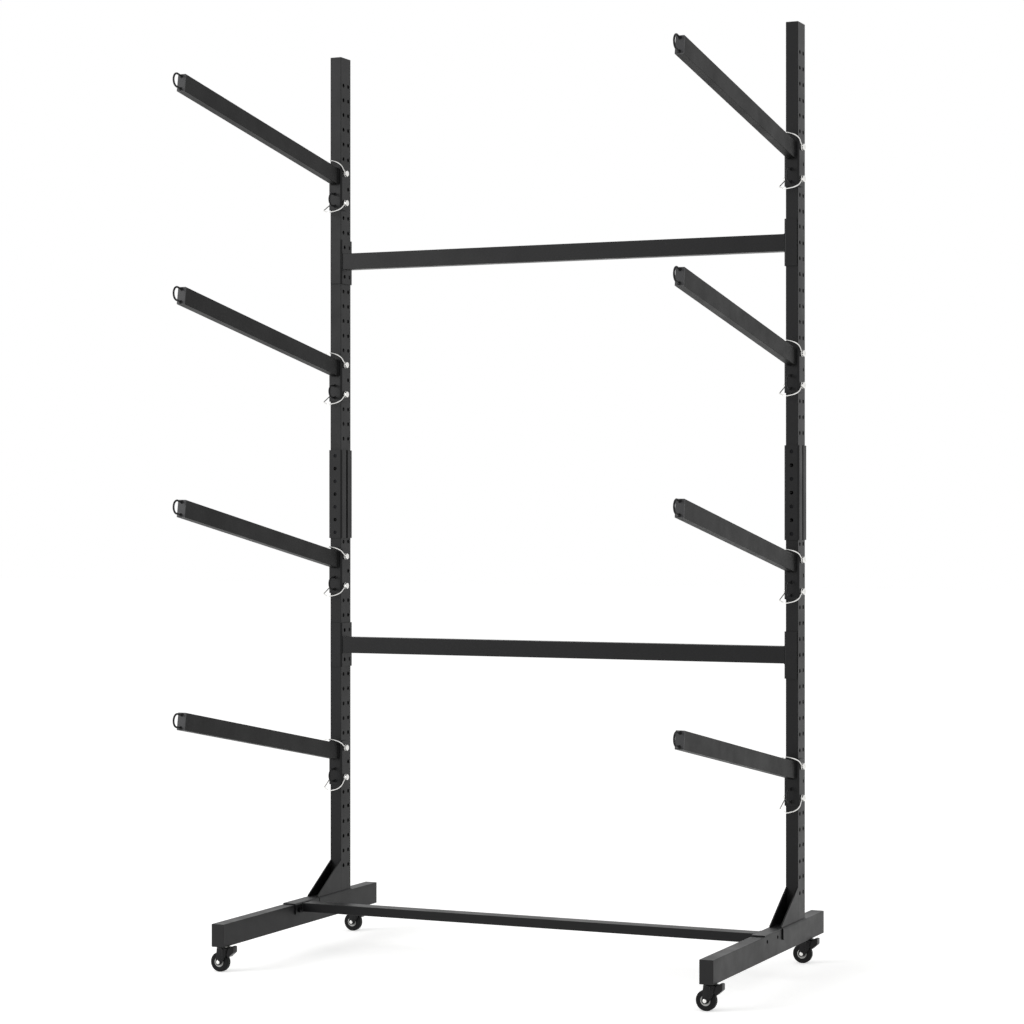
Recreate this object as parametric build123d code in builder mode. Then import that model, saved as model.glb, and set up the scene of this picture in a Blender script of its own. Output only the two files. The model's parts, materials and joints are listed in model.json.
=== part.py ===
"""Freestanding kayak rack: two perforated posts on a castor base, with four pairs of pinned arms.

Millimetres, +Z up, +X along the crossbars, arms reaching towards -Y.
The origin is on the floor, under the middle of the rack's bounding box.
"""
from build123d import *
from math import cos, radians, sin, tan
import os

os.makedirs("parts", exist_ok=True)

# ---- driving dimensions: posts ------------------------------------------------------
post_spacing = 1200.0        # between the posts' middle planes
rack_height = 2211.5         # floor to the top of the post caps
post_width = 30.0
post_depth = 52.0
post_wall = 1.5
tube_corner = 1.0            # outside corner radius of posts, arms, crossbars and legs
least_corner = 0.4           # smallest inside corner radius of any tube

hole_pitch = 37.0            # between rows of side holes
hole_column_spacing = 25.0
hole_play = 1.0              # hole diameter over pin or bolt diameter
top_hole_drop = 70.0         # post top down to the first row
bottom_hole_margin = 60.0    # least height of the last row above the legs

plate = 3.0                  # folded brackets, sleeves and gussets
fit_gap = 0.3                # folded bracket over a tube
bend_radius = 1.5            # inside corner of a fold

# ---- driving dimensions: base -------------------------------------------------------
leg_width = 32.0
leg_height = 53.0
leg_wall = 2.0
leg_front_reach = 582.5      # post front face to the front end of a leg
leg_rear_reach = 195.0       # post front face to the rear end of a leg
cap_flange = 2.0
cap_edge = 0.8
cap_plug = 12.0
cap_plug_gap = 0.2

gusset_height = 77.0
gusset_reach = 120.0
gusset_toe = 3.0

base_bar_height = 21.5
base_bar_depth = 40.0
base_bar_drop = 2.3          # bar's top face below the saddles' top faces
base_bar_inset = 68.0        # bar's middle to the foot brackets
saddle_front_length = 54.0   # bar's middle to the saddle's front edge
saddle_rear_length = 65.0    # bar's middle to the saddle's rear edge
saddle_drop = 24.5           # flanges of saddles and foot brackets below the leg's top face
saddle_corner = 6.0          # rounded lower corners of those flanges
saddle_bolt_spacing = 74.0
saddle_bolt_drop = 13.0

# ---- driving dimensions: crossbars and sleeves --------------------------------------
crossbar_height = 40.0
crossbar_depth = 30.0
crossbar_wall = 1.5
upper_crossbar_height = 1697.5
lower_crossbar_height = 735.5
bracket_margin = 18.0        # bracket end beyond its outer holes
crossbar_flange_short = 2.0  # bracket flange stops short of the post's far face

sleeve_top = 1224.5
sleeve_hole_pitch = 32.0
sleeve_hole_count = 7
sleeve_end_margin = 14.5
sleeve_slit = 8.0            # between the front and the rear channel
rows_above_joint = 3.5       # sleeve hole pitches from the top hole to the post joint

# ---- driving dimensions: arms -------------------------------------------------------
arm_width = 20.0
arm_height = 40.0
arm_wall = 1.5
arm_length = 748.0
arm_rise = 9.8               # degrees above level
arm_top_margin = 6.0         # bracket top down to the arm's top face
end_plate = 2.5
tier_count = 4
tier_spacing = 481.0
top_tier_height = 1882.5     # middle of the highest arm brackets
arm_flange_past_pin = 13.5

loop_wire = 4.5
loop_spacing = 30.0
tip_loop_straight = 18.5
bracket_loop_straight = 16.0
bracket_loop_drop = 30.5     # middle of an arm bracket down to its strap loop

# ---- driving dimensions: pins, clips and bolts --------------------------------------
pin_diameter = 9.0
pin_head_diameter = 15.0
pin_head_length = 5.8
pin_head_round = 3.5
pin_tip_chamfer = 1.5
pin_tip_length = 3.1         # pin beyond the clip's far ring
clip_wire = 3.0
clip_side_gap = 0.6          # bracket to clip ring
clip_play = 0.3              # clip ring round its pin and under the pin's head
clip_near_reach = 37.0       # pin axis to the bow's corner beside the head
clip_far_reach = 49.0        # pin axis to the bow's middle corner
clip_side_reach = 36.5       # pin axis to the bow's widest corner
clip_flare = 0.6             # bow's corner beside the head, outside its ring
clip_turn_inset = 13.4       # bow's middle corner, inside the far ring
clip_bulge = 5.0             # bow's widest corner, outside the far ring
clip_near_bend = 23.0
clip_far_bend = 10.0
clip_side_bend = 4.0
upper_clip_rises = {4: 40.0, 3: 38.0, 2: 31.0, 1: 30.0}  # degrees above level at rest, for each tier
lower_clip_falls = {4: 33.0, 3: 33.0, 2: 33.0, 1: 43.0}  # degrees below level at rest, for each tier

bolt_diameter = 8.0
bolt_head_flats = 13.0
bolt_head_height = 5.3
bolt_tip_recess = 1.2        # bolt tip inside the far face
nut_height = 6.5
thread_gap = 0.05            # bolt to nut

# ---- driving dimensions: castors ----------------------------------------------------
castor_height = 62.0
castor_trail = 11.5
front_castor_inset = 34.5    # front end of the leg to the castor stem
rear_castor_inset = 77.0     # rear end of the leg to the castor stem
stem_diameter = 10.0
stem_play = 0.3
stem_rise = 14.0             # stem above the underside of the leg
stem_nut_flats = 17.0
stem_nut_height = 8.0
race_diameter = 24.0
race_height = 3.3
neck_diameter = 8.0
rivet_diameter = 14.0
rivet_height = 2.0
running_gap = 0.3            # between pieces that turn on one another
wheel_diameter = 46.0
tread_width = 17.0
tread_round = 4.0
hub_width = 19.6
hub_boss_diameter = 13.0
hub_diameter = 22.8
hub_groove = 1.8
hub_side_gap = 0.5
axle_diameter = 6.0
axle_head_diameter = 9.0
axle_head_height = 2.2
fork_plate = 2.5
fork_cheek = 2.0
fork_front_reach = 12.0      # stem axis to the crown's edge on the brake side
fork_rear_reach = 15.0       # stem axis to the crown's edge on the wheel side
fork_corner = 4.0
axle_boss_diameter = 13.0
brake_pin_diameter = 4.0
brake_pivot_x = 6.0          # from the stem axis
brake_pivot_z = 48.5
brake_boss_diameter = 8.0
brake_toe_x = 22.0
brake_toe_z = 54.0
brake_toe_diameter = 10.0
brake_heel_x = 12.0
brake_heel_z = 38.5
brake_heel_diameter = 5.0

# ---- sizes that follow --------------------------------------------------------------
side_gap = fit_gap + plate
flange_bend = bend_radius + plate
post_half = post_width / 2
sleeve_over = post_half + side_gap
leg_half = leg_width / 2
leg_over = leg_half + side_gap
side_hole_radius = (max(pin_diameter, bolt_diameter) + hole_play) / 2
bolt_hole_radius = (bolt_diameter + hole_play) / 2
bolt_radius = bolt_diameter / 2
bracket_hole_spacing = 2 * hole_pitch
bracket_height = bracket_hole_spacing + 2 * bracket_margin
wheel_radius = wheel_diameter / 2

rise_cos = cos(radians(arm_rise))
rise_sin = sin(radians(arm_rise))
loop_radius = loop_spacing / 2
arm_root_lift = bracket_height / 2 - arm_top_margin - arm_height / 2 / rise_cos
arm_line_length = arm_length + end_plate + tip_loop_straight
front_reach = side_gap + arm_line_length * rise_cos + loop_radius + loop_wire / 2

clip_ring_x = sleeve_over + clip_side_gap + clip_wire / 2
clip_ring_radius = pin_diameter / 2 + clip_play + clip_wire / 2
pin_head_seat = clip_ring_x + clip_wire / 2 + clip_play
pin_tip_end = clip_ring_x + clip_wire / 2 + pin_tip_length
castor_left_reach = castor_trail + wheel_radius

# ---- places that follow -------------------------------------------------------------
middle_x = (castor_left_reach - pin_head_seat - pin_head_length) / 2
post_x = {"left": middle_x - post_spacing / 2, "right": middle_x + post_spacing / 2}
front_y = (front_reach - leg_rear_reach) / 2
back_y = front_y + post_depth
post_middle_y = front_y + post_depth / 2
front_column_y = post_middle_y - hole_column_spacing / 2
rear_column_y = post_middle_y + hole_column_spacing / 2
leg_bottom = castor_height
leg_middle = leg_bottom + leg_height / 2
leg_top = leg_bottom + leg_height
leg_front_y = front_y - leg_front_reach
leg_rear_y = front_y + leg_rear_reach
first_row_z = rack_height - top_hole_drop

sleeve_hole_z = [
    sleeve_top - sleeve_end_margin - step * sleeve_hole_pitch for step in range(sleeve_hole_count)
]
sleeve_bottom = sleeve_hole_z[-1] - sleeve_end_margin
post_joint_z = sleeve_hole_z[0] - rows_above_joint * sleeve_hole_pitch

base_bar_y = front_y - gusset_reach - base_bar_inset
foot_top = leg_top + plate
saddle_bolt_z = leg_top - saddle_bolt_drop
saddle_bolt_y = [base_bar_y - saddle_bolt_spacing / 2, base_bar_y + saddle_bolt_spacing / 2]

castor_places = {
    f"{end}_{side}": (post_x[side], y)
    for end, y in (("front", leg_front_y + front_castor_inset), ("rear", leg_rear_y - rear_castor_inset))
    for side in post_x
}


def level_near(height):
    """Height of the row of side holes nearest to a wanted height."""
    return first_row_z - hole_pitch * round((first_row_z - height) / hole_pitch)


def rows_between(bottom, top):
    """Heights of the rows of side holes between two heights, clear of the sleeve."""
    count = int((first_row_z - leg_top - bottom_hole_margin) / hole_pitch) + 1
    rows = [first_row_z - row * hole_pitch for row in range(count)]
    sleeved = (sleeve_bottom - side_hole_radius, sleeve_top + side_hole_radius)
    return [z for z in rows if bottom < z < top and not sleeved[0] < z < sleeved[1]]


tier_z = {
    tier_count - step: level_near(top_tier_height - step * tier_spacing) for step in range(tier_count)
}
crossbar_z = {
    "upper": level_near(upper_crossbar_height), "lower": level_near(lower_crossbar_height)
}
arm_places = [(x, front_y - side_gap, z) for x in post_x.values() for z in tier_z.values()]


# ---- helpers ------------------------------------------------------------------------
def write(piece, name):
    """Label a finished piece and save it as one STEP file."""
    piece.label = name
    export_step(piece, f"parts/{name}.step")


def copies(piece, places):
    """The same piece at several places, as one group of separate solids."""
    with BuildPart() as group:
        with Locations(*places):
            add(piece)
    return group.part


def make_tube(start, length, width, depth, wall, corner):
    """A straight square tube, with its section in the middle of the start plane."""
    with BuildPart() as tube:
        with BuildSketch(start):
            RectangleRounded(width, depth, corner)
            inner_corner = max(corner - wall, least_corner)
            RectangleRounded(width - 2 * wall, depth - 2 * wall, inner_corner, mode=Mode.SUBTRACT)
        extrude(amount=length)
    return tube.part


def make_cap(width, depth, wall, corner):
    """A push-in tube cap, its flange above the XY plane and its plug below it."""
    with BuildPart() as cap:
        with BuildSketch(Plane.XY):
            RectangleRounded(width, depth, corner)
        extrude(amount=cap_flange)
        fillet(cap.faces().sort_by(Axis.Z)[-1].edges(), cap_edge)
        with BuildSketch(Plane.XY):
            inset = 2 * (wall + cap_plug_gap)
            RectangleRounded(width - inset, depth - inset, max(corner - wall, least_corner))
        extrude(amount=-cap_plug)
    return cap.part


# ---- posts and legs -----------------------------------------------------------------
def make_post(x, bottom, top):
    """A tube with two columns of holes through its sides and bolt holes under the sleeve."""
    with BuildPart() as post:
        floor_plane = Plane((x, post_middle_y, bottom))
        add(make_tube(floor_plane, top - bottom, post_width, post_depth, post_wall, tube_corner))
        with BuildSketch(Plane.YZ.offset(x - post_half)):
            with Locations(*[(post_middle_y, z) for z in rows_between(bottom, top)]):
                with GridLocations(hole_column_spacing, 0, 2, 1):
                    Circle(side_hole_radius)
        extrude(amount=post_width, mode=Mode.SUBTRACT)
        with BuildSketch(Plane.XZ.offset(-back_y)):
            with Locations(*[(x, z) for z in sleeve_hole_z if bottom < z < top]):
                Circle(bolt_hole_radius)
        extrude(amount=post_depth, mode=Mode.SUBTRACT)
    return post.part


def make_leg(x):
    """A level tube with a hole for each castor stem and cross holes for the saddle bolts."""
    with BuildPart() as leg:
        rear_plane = Plane((x, leg_rear_y - cap_flange, leg_middle), x_dir=(1, 0, 0), z_dir=(0, -1, 0))
        length = leg_rear_y - leg_front_y - 2 * cap_flange
        add(make_tube(rear_plane, length, leg_width, leg_height, leg_wall, tube_corner))
        with BuildSketch(Plane.XY.offset(leg_bottom)):
            with Locations(*[place for place in castor_places.values() if place[0] == x]):
                Circle(stem_diameter / 2 + stem_play)
        extrude(amount=leg_wall, mode=Mode.SUBTRACT)
        with BuildSketch(Plane.YZ.offset(x - leg_half)):
            with Locations(*[(y, saddle_bolt_z) for y in saddle_bolt_y]):
                Circle(bolt_hole_radius)
        extrude(amount=leg_width, mode=Mode.SUBTRACT)
    return leg.part


for side, x in post_x.items():
    write(make_post(x, foot_top, post_joint_z), f"{side}_lower_post")
    write(make_post(x, post_joint_z, rack_height - cap_flange), f"{side}_upper_post")
    write(make_leg(x), f"{side}_leg")

post_cap = make_cap(post_width, post_depth, post_wall, tube_corner)
post_cap_places = [(x, post_middle_y, rack_height - cap_flange) for x in post_x.values()]
write(copies(post_cap, post_cap_places), "post_caps")

leg_cap = make_cap(leg_width, leg_height, leg_wall, tube_corner)
leg_cap_places = []
for x in post_x.values():
    leg_cap_places.append(Location((x, leg_front_y + cap_flange, leg_middle), (90, 0, 0)))
    leg_cap_places.append(Location((x, leg_rear_y - cap_flange, leg_middle), (-90, 0, 0)))
write(copies(leg_cap, leg_cap_places), "leg_end_caps")

with BuildPart() as gusset_plate:
    with BuildSketch(Plane.YZ):
        toe_corners = [(-gusset_reach, 0), (-gusset_reach, gusset_toe)]
        Polygon((0, 0), *toe_corners, (0, gusset_height), align=None)
    extrude(amount=plate)
gusset_places = [
    (x + offset, front_y, foot_top) for x in post_x.values() for offset in (-post_half, post_half - plate)
]
write(copies(gusset_plate.part, gusset_places), "gusset_plates")


# ---- crossbars and their brackets ---------------------------------------------------
def make_bar(y, z, height, depth, end_inset):
    """A level tube that ends a given inset from the middle planes of the two posts."""
    start = Plane((post_x["left"] + end_inset, y, z), x_dir=(0, 1, 0), z_dir=(1, 0, 0))
    return make_tube(start, post_spacing - 2 * end_inset, depth, height, crossbar_wall, tube_corner)


base_bar_z = foot_top - base_bar_drop - base_bar_height / 2
write(make_bar(base_bar_y, base_bar_z, base_bar_height, base_bar_depth, leg_over), "base_crossbar")
for level, z in crossbar_z.items():
    crossbar = make_bar(front_y + crossbar_depth / 2, z, crossbar_height, crossbar_depth, sleeve_over)
    write(crossbar, f"{level}_crossbar")


def fold_over_leg(length, is_channel):
    """A folded plate over a leg, its top face on the XY plane and its rear end on the XZ plane.

    A channel has a flange down both sides of the leg; otherwise there is only the right one.
    """
    left_edge = -leg_over if is_channel else -leg_half
    inner_edge = left_edge + plate if is_channel else left_edge
    with BuildPart() as fold:
        with BuildSketch(Plane.XZ):
            with Locations((left_edge, 0)):
                Rectangle(leg_over - left_edge, plate + saddle_drop, align=(Align.MIN, Align.MAX))
            top_corners = vertices().group_by(Axis.Y)[-1].sort_by(Axis.X)
            fillet(top_corners if is_channel else top_corners[-1:], flange_bend)
            with Locations((inner_edge, -plate)):
                inside_width = leg_half + fit_gap - inner_edge
                Rectangle(inside_width, saddle_drop, align=(Align.MIN, Align.MAX), mode=Mode.SUBTRACT)
        extrude(amount=length)
        fillet(fold.edges().filter_by(Axis.X).group_by(Axis.Z)[0], saddle_corner)
    return fold.part


with BuildPart() as saddle:
    with Locations((0, saddle_rear_length, 0)):
        add(fold_over_leg(saddle_rear_length + saddle_front_length, is_channel=False))
    with BuildSketch(Plane.YZ.offset(leg_half)):
        with Locations((0, leg_top - saddle_bolt_drop - foot_top)):
            with GridLocations(saddle_bolt_spacing, 0, 2, 1):
                Circle(bolt_hole_radius)
    extrude(amount=side_gap, mode=Mode.SUBTRACT)
with BuildPart() as saddle_brackets:
    with Locations((post_x["left"], base_bar_y, foot_top)):
        add(saddle.part)
    with Locations((post_x["right"], base_bar_y, foot_top)):
        add(mirror(saddle.part, about=Plane.YZ, mode=Mode.PRIVATE))
write(saddle_brackets.part, "saddle_brackets")

foot_bracket = fold_over_leg(gusset_reach + post_depth, is_channel=True)
foot_bracket_places = [(x, back_y, foot_top) for x in post_x.values()]
write(copies(foot_bracket, foot_bracket_places), "foot_brackets")

with BuildPart() as crossbar_bracket:
    with BuildSketch(Plane.XY.offset(-bracket_height / 2)):
        flange_tip = crossbar_flange_short - post_half
        outside_align = (Align.MIN, Align.MIN)
        with Locations((flange_tip, -side_gap)):
            Rectangle(sleeve_over - flange_tip, post_depth + 2 * side_gap, align=outside_align)
        fillet(vertices().group_by(Axis.X)[-1], flange_bend)
        with Locations((flange_tip, -fit_gap)):
            inside_width = post_half + fit_gap - flange_tip
            inside_depth = post_depth + 2 * fit_gap
            Rectangle(inside_width, inside_depth, align=outside_align, mode=Mode.SUBTRACT)
    extrude(amount=bracket_height)
    with BuildSketch(Plane.YZ.offset(post_half)):
        with Locations((post_depth / 2, 0)):
            with GridLocations(hole_column_spacing, bracket_hole_spacing, 2, 2):
                Circle(side_hole_radius)
    extrude(amount=side_gap, mode=Mode.SUBTRACT)
with BuildPart() as crossbar_brackets:
    with Locations(*[(post_x["left"], front_y, z) for z in crossbar_z.values()]):
        add(crossbar_bracket.part)
    with Locations(*[(post_x["right"], front_y, z) for z in crossbar_z.values()]):
        add(mirror(crossbar_bracket.part, about=Plane.YZ, mode=Mode.PRIVATE))
write(crossbar_brackets.part, "crossbar_brackets")


# ---- channels round the posts: sleeves and arm brackets -----------------------------
def make_channel(height, flange_reach):
    """A folded channel standing on the XY plane, its web's outer face on the XZ plane."""
    with BuildPart() as channel:
        with BuildSketch(Plane.XY):
            channel_align = (Align.CENTER, Align.MIN)
            Rectangle(2 * sleeve_over, side_gap + flange_reach, align=channel_align)
            fillet(vertices().group_by(Axis.Y)[0], flange_bend)
            with Locations((0, plate)):
                inside_width = 2 * (post_half + fit_gap)
                Rectangle(inside_width, side_gap + flange_reach, align=channel_align, mode=Mode.SUBTRACT)
        extrude(amount=height)
    return channel.part


with BuildPart() as sleeve_channel:
    add(make_channel(sleeve_top - sleeve_bottom, (post_depth - sleeve_slit) / 2))
    with BuildSketch(Plane.XZ):
        with Locations(*[(0, z - sleeve_bottom) for z in sleeve_hole_z]):
            Circle(bolt_hole_radius)
    extrude(amount=-plate, mode=Mode.SUBTRACT)
sleeve_places = []
for x in post_x.values():
    sleeve_places.append(Location((x, front_y - side_gap, sleeve_bottom)))
    sleeve_places.append(Location((x, back_y + side_gap, sleeve_bottom), (0, 0, 180)))
write(copies(sleeve_channel.part, sleeve_places), "post_sleeves")

with BuildPart() as arm_bracket:
    pin_setback = front_column_y - front_y
    add(make_channel(bracket_height, pin_setback + arm_flange_past_pin))
    with BuildSketch(Plane.YZ.offset(-sleeve_over)):
        with Locations((side_gap + pin_setback, bracket_height / 2)):
            with GridLocations(0, bracket_hole_spacing, 1, 2):
                Circle(side_hole_radius)
    extrude(amount=2 * sleeve_over, mode=Mode.SUBTRACT)
arm_bracket_places = [(x, y, z - bracket_height / 2) for x, y, z in arm_places]
write(copies(arm_bracket.part, arm_bracket_places), "arm_brackets")


# ---- bolts and nuts -----------------------------------------------------------------
def make_bolt(grip):
    """A hexagon bolt with its head above the XY plane and its shank below it."""
    with BuildPart() as bolt:
        with BuildSketch(Plane.XY):
            RegularPolygon(bolt_head_flats / 2, 6, major_radius=False, rotation=90)
        extrude(amount=bolt_head_height)
        with BuildSketch(Plane.XY):
            Circle(bolt_radius)
        extrude(amount=-(grip - bolt_tip_recess))
    return bolt.part


def make_nut(flats, height, bore_diameter):
    """A hexagon nut standing on the XY plane."""
    with BuildPart() as nut:
        with BuildSketch(Plane.XY):
            RegularPolygon(flats / 2, 6, major_radius=False, rotation=90)
            Circle(bore_diameter / 2 + thread_gap, mode=Mode.SUBTRACT)
        extrude(amount=height)
    return nut.part


head_behind = (-90, 0, 0)
head_left = (0, -90, 0)
head_right = (0, 90, 0)
sleeve_bolt_spots = [(x, z) for x in post_x.values() for z in sleeve_hole_z[::2]]
saddle_bolt_sides = {"left": (1, head_right), "right": (-1, head_left)}
bracket_bolt_z = [z + offset for z in crossbar_z.values() for offset in (-hole_pitch, hole_pitch)]
bracket_bolt_seat = {"left": post_x["left"] - post_half, "right": post_x["right"] - sleeve_over}

with BuildPart() as frame_bolts:
    with Locations(*[Location((x, back_y + side_gap, z), head_behind) for x, z in sleeve_bolt_spots]):
        add(make_bolt(post_depth + 2 * side_gap))
    for side, (inward, turn) in saddle_bolt_sides.items():
        seat_x = post_x[side] + inward * leg_over
        with Locations(*[Location((seat_x, y, saddle_bolt_z), turn) for y in saddle_bolt_y]):
            add(make_bolt(leg_over + leg_half - leg_wall))
    for seat_x in bracket_bolt_seat.values():
        with Locations(*[Location((seat_x, rear_column_y, z), head_left) for z in bracket_bolt_z]):
            add(make_bolt(post_width + side_gap))
write(frame_bolts.part, "frame_bolts")

bolt_nut = make_nut(bolt_head_flats, nut_height, bolt_diameter)
with BuildPart() as weld_nuts:
    with Locations(*[Location((x, front_y + post_wall, z), head_behind) for x, z in sleeve_bolt_spots]):
        add(bolt_nut)
    for side, (inward, turn) in saddle_bolt_sides.items():
        leg_nut_x = post_x[side] - inward * (leg_half - leg_wall)
        with Locations(*[Location((leg_nut_x, y, saddle_bolt_z), turn) for y in saddle_bolt_y]):
            add(bolt_nut)
    for x in post_x.values():
        post_nut_x = x + post_half - post_wall
        with Locations(*[Location((post_nut_x, rear_column_y, z), head_left) for z in bracket_bolt_z]):
            add(bolt_nut)
    with Locations(*[(x, y, leg_bottom + leg_wall) for x, y in castor_places.values()]):
        add(make_nut(stem_nut_flats, stem_nut_height, stem_diameter))
write(weld_nuts.part, "weld_nuts")

# ---- arms ---------------------------------------------------------------------------
arm_root = Plane((0, 0, arm_root_lift), x_dir=(1, 0, 0), z_dir=(0, -rise_cos, rise_sin))
root_allowance = arm_height * tan(radians(arm_rise))
with BuildPart() as arm:
    blank_start = arm_root.offset(-root_allowance)
    add(make_tube(blank_start, arm_length + root_allowance, arm_width, arm_height, arm_wall, tube_corner))
    split(bisect_by=Plane.XZ, keep=Keep.TOP)
with BuildPart() as arm_end_plate:
    with BuildSketch(arm_root.offset(arm_length)):
        RectangleRounded(arm_width, arm_height, tube_corner)
    extrude(amount=end_plate)
for side, x in post_x.items():
    for tier, z in tier_z.items():
        write(copies(arm.part, [(x, front_y - side_gap, z)]), f"{side}_arm_{tier}")
write(copies(arm_end_plate.part, arm_places), "arm_end_plates")


def make_loop(straight):
    """A strap loop bent from round bar, both ends on the XZ plane."""
    with BuildPart() as loop:
        with BuildLine(Plane.YZ):
            Line((0, loop_radius), (-straight, loop_radius))
            CenterArc((-straight, 0), loop_radius, 90, 180)
            Line((-straight, -loop_radius), (0, -loop_radius))
        with BuildSketch(Plane((0, 0, loop_radius), x_dir=(1, 0, 0), z_dir=(0, -1, 0))):
            Circle(loop_wire / 2)
        sweep()
    return loop.part


arm_tip = arm_root.offset(arm_length + end_plate).origin
tip_loop_turn = (-arm_rise, 0, 0)
tip_loop_places = [Location((x, y + arm_tip.Y, z + arm_tip.Z), tip_loop_turn) for x, y, z in arm_places]
write(copies(make_loop(tip_loop_straight), tip_loop_places), "tip_strap_loops")
bracket_loop_places = [(x, y, z - bracket_loop_drop) for x, y, z in arm_places]
write(copies(make_loop(bracket_loop_straight), bracket_loop_places), "bracket_strap_loops")

# ---- lock pins and their wire clips -------------------------------------------------
with BuildPart() as lock_pin:
    with BuildSketch(Plane.YZ.offset(-pin_tip_end)):
        Circle(pin_diameter / 2)
    extrude(amount=pin_tip_end + pin_head_seat)
    chamfer(lock_pin.faces().sort_by(Axis.X)[0].edges(), pin_tip_chamfer)
    with BuildSketch(Plane.YZ.offset(pin_head_seat)):
        Circle(pin_head_diameter / 2)
    extrude(amount=pin_head_length)
    fillet(lock_pin.faces().sort_by(Axis.X)[-1].edges(), pin_head_round)
pin_rows = {"upper": hole_pitch, "lower": -hole_pitch}
pin_places = [
    (x, front_column_y, z + offset)
    for x in post_x.values()
    for z in tier_z.values()
    for offset in pin_rows.values()
]
write(copies(lock_pin.part, pin_places), "lock_pins")


def make_clip(rise):
    """A wire bow that reaches round the front of the post, with a ring on each end of its pin."""
    bow_plane = Plane((0, 0, 0), x_dir=(1, 0, 0), z_dir=(0, -sin(radians(rise)), -cos(radians(rise))))
    with BuildPart() as clip:
        with BuildLine(bow_plane) as bow:
            FilletPolyline(
                (clip_ring_x, clip_ring_radius),
                (clip_ring_x + clip_flare, clip_near_reach),
                (clip_turn_inset - clip_ring_x, clip_far_reach),
                (-clip_ring_x - clip_bulge, clip_side_reach),
                (-clip_ring_x, clip_ring_radius),
                radius=(clip_near_bend, clip_far_bend, clip_side_bend),
            )
        with BuildSketch(Plane(bow.line @ 0, z_dir=bow.line % 0)):
            Circle(clip_wire / 2)
        sweep()
        with Locations(*[Location((ring_x, 0, 0), (0, 90, 0)) for ring_x in (-clip_ring_x, clip_ring_x)]):
            Torus(clip_ring_radius, clip_wire / 2)
    return clip.part


for tier, z in tier_z.items():
    clips = {"upper": make_clip(upper_clip_rises[tier]), "lower": make_clip(-lower_clip_falls[tier])}
    for side, x in post_x.items():
        for row, offset in pin_rows.items():
            write(copies(clips[row], [(x, front_column_y, z + offset)]), f"{side}_{row}_clip_{tier}")

# ---- castors ------------------------------------------------------------------------
race_bottom = castor_height - race_height
crown_top = race_bottom - running_gap
crown_bottom = crown_top - fork_plate
rivet_top = crown_bottom - running_gap
cheek_inside = hub_width / 2 + hub_side_gap
cheek_outside = cheek_inside + fork_cheek
axle_spot = (-castor_trail, wheel_radius)
brake_pivot = (brake_pivot_x, brake_pivot_z)

with BuildPart() as castor_stem:
    with BuildSketch(Plane.XY.offset(rivet_top - rivet_height)):
        Circle(rivet_diameter / 2)
    extrude(amount=rivet_height)
    with BuildSketch(Plane.XY.offset(rivet_top)):
        Circle(neck_diameter / 2)
    extrude(amount=race_bottom - rivet_top)
    with BuildSketch(Plane.XY.offset(race_bottom)):
        Circle(race_diameter / 2)
    extrude(amount=race_height)
    with BuildSketch(Plane.XY.offset(castor_height)):
        Circle(stem_diameter / 2)
    extrude(amount=stem_rise)
write(copies(castor_stem.part, castor_places.values()), "castor_stems")

with BuildPart() as yoke:
    with BuildSketch(Plane.XY.offset(crown_bottom)):
        with Locations(((fork_front_reach - fork_rear_reach) / 2, 0)):
            RectangleRounded(fork_front_reach + fork_rear_reach, 2 * cheek_outside, fork_corner)
        Circle(neck_diameter / 2 + running_gap, mode=Mode.SUBTRACT)
    extrude(amount=fork_plate)
    for cheek_face in (-cheek_outside, cheek_inside):
        with BuildSketch(Plane.XZ.offset(cheek_face)):
            fold_length = fork_front_reach + fork_rear_reach - 2 * fork_corner
            with Locations(((fork_front_reach - fork_rear_reach) / 2, (crown_top + crown_bottom) / 2)):
                Rectangle(fold_length, fork_plate)
            with Locations(axle_spot):
                Circle(axle_boss_diameter / 2)
            with Locations(brake_pivot):
                Circle(brake_boss_diameter / 2)
            make_hull()
            with Locations(axle_spot):
                Circle(axle_diameter / 2 + thread_gap, mode=Mode.SUBTRACT)
            with Locations(brake_pivot):
                Circle(brake_pin_diameter / 2 + thread_gap, mode=Mode.SUBTRACT)
        extrude(amount=fork_cheek)

with BuildPart() as axle:
    with BuildSketch(Plane.XZ.offset(-cheek_outside)):
        with Locations(axle_spot):
            Circle(axle_diameter / 2)
    extrude(amount=2 * cheek_outside)
    for head_face in (-cheek_outside - axle_head_height, cheek_outside):
        with BuildSketch(Plane.XZ.offset(head_face)):
            with Locations(axle_spot):
                Circle(axle_head_diameter / 2)
        extrude(amount=axle_head_height)

with BuildPart() as brake_pin:
    with BuildSketch(Plane.XZ.offset(-cheek_outside)):
        with Locations(brake_pivot):
            Circle(brake_pin_diameter / 2)
    extrude(amount=2 * cheek_outside)

with BuildPart() as wheel:
    with BuildSketch(Plane.YZ):
        wheel_align = (Align.CENTER, Align.MIN)
        Rectangle(tread_width, wheel_radius, align=wheel_align)
        fillet(vertices().group_by(Axis.Y)[-1], tread_round)
        for groove_y in (-tread_width / 2, tread_width / 2):
            with Locations((groove_y, hub_diameter / 2)):
                Rectangle(2 * hub_groove, hub_groove, align=wheel_align, mode=Mode.SUBTRACT)
        Rectangle(hub_width, hub_boss_diameter / 2, align=wheel_align)
        Rectangle(hub_width, axle_diameter / 2 + running_gap, align=wheel_align, mode=Mode.SUBTRACT)
    revolve(axis=Axis.Y)

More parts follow.
